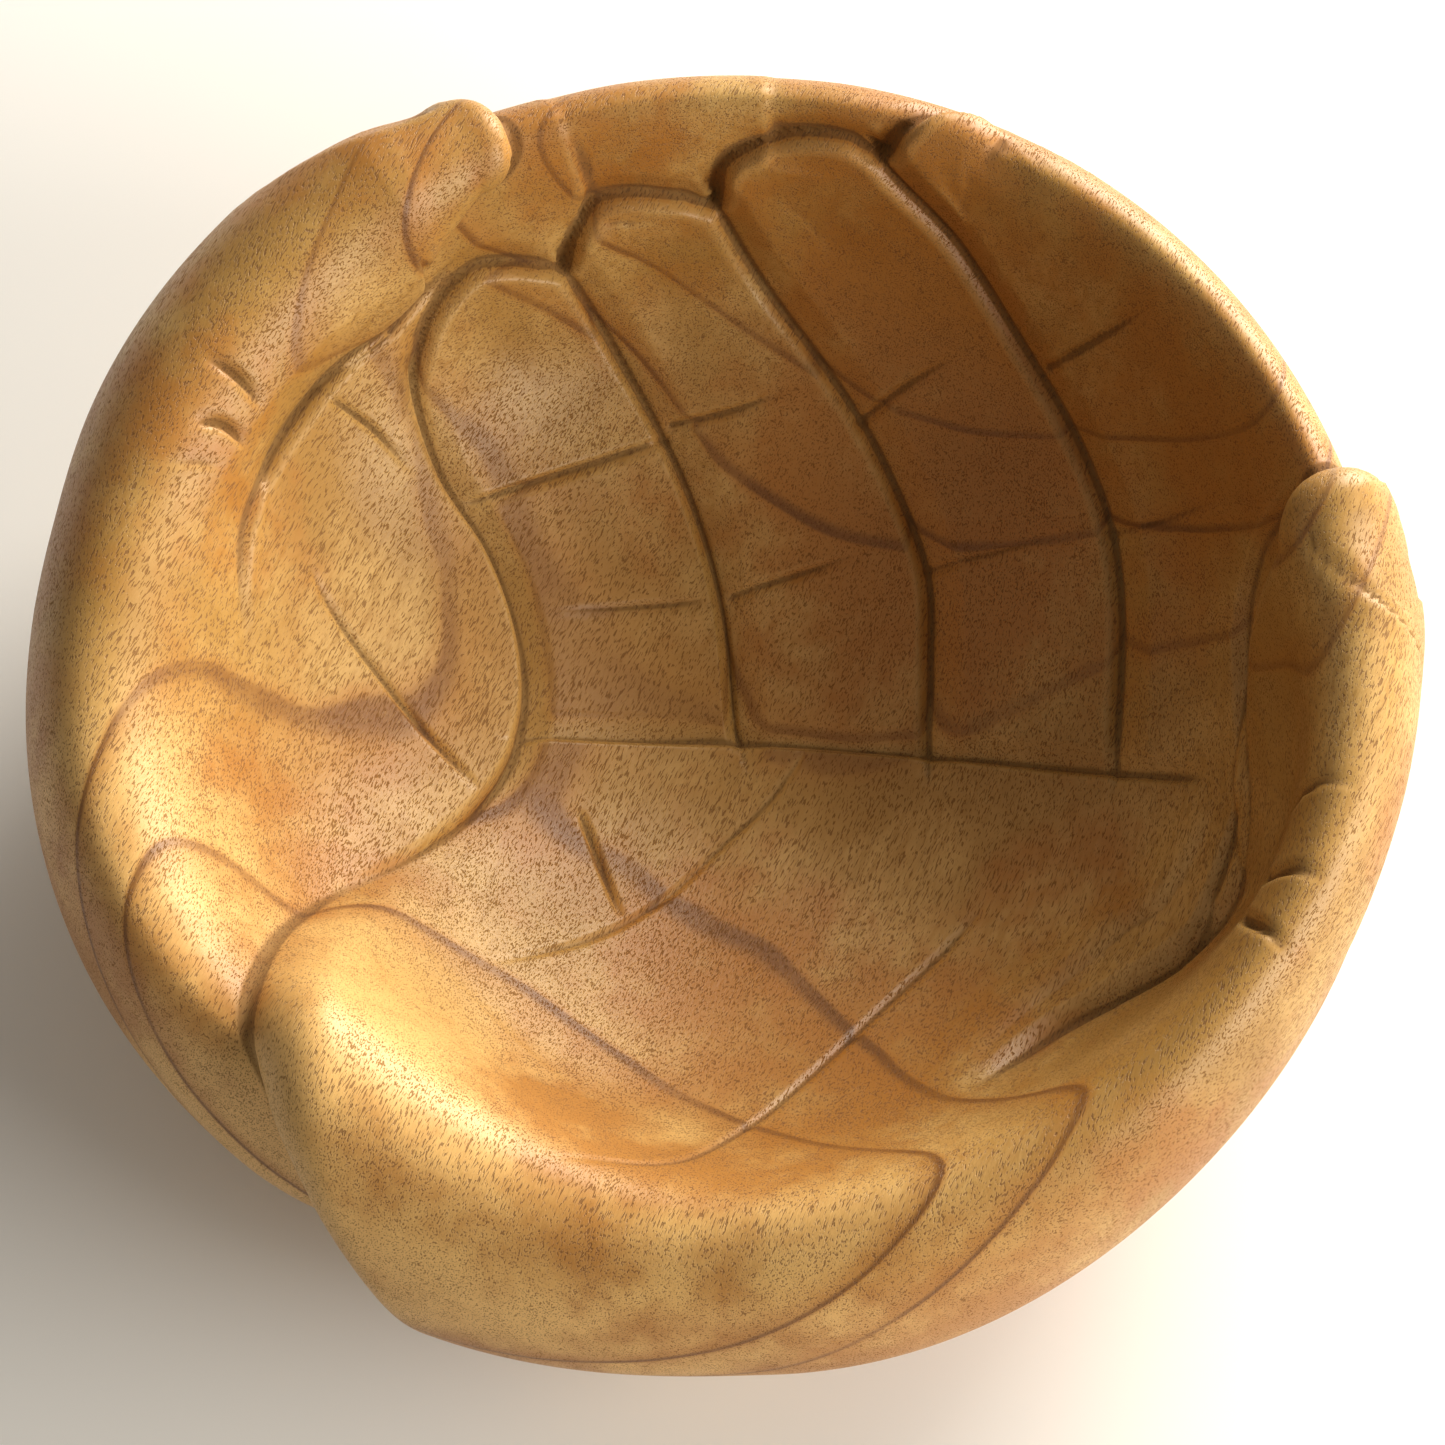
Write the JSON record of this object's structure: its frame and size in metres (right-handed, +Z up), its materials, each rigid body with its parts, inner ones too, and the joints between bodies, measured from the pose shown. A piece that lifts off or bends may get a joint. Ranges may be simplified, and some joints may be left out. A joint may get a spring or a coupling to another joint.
{
  "type": "carved bowl",
  "caption": "Shallow wooden bowl carved as two cupped hands, the fingers forming the high side and the heels of the palms the low side, with the thumbs lying along the rim.",
  "frame": {"origin": "centre of the flat foot, on the surface that the bowl stands on", "axes": "+Z up, +Y from the wrists to the fingertips, +X to the thumb of the upper, right hand"},
  "size_m": [0.2897, 0.2863, 0.1091],
  "materials": {
    "wood": "satin"
  },
  "bodies": {
    "root": {"carved_bowl": "wood"}
  },
  "joints": []
}
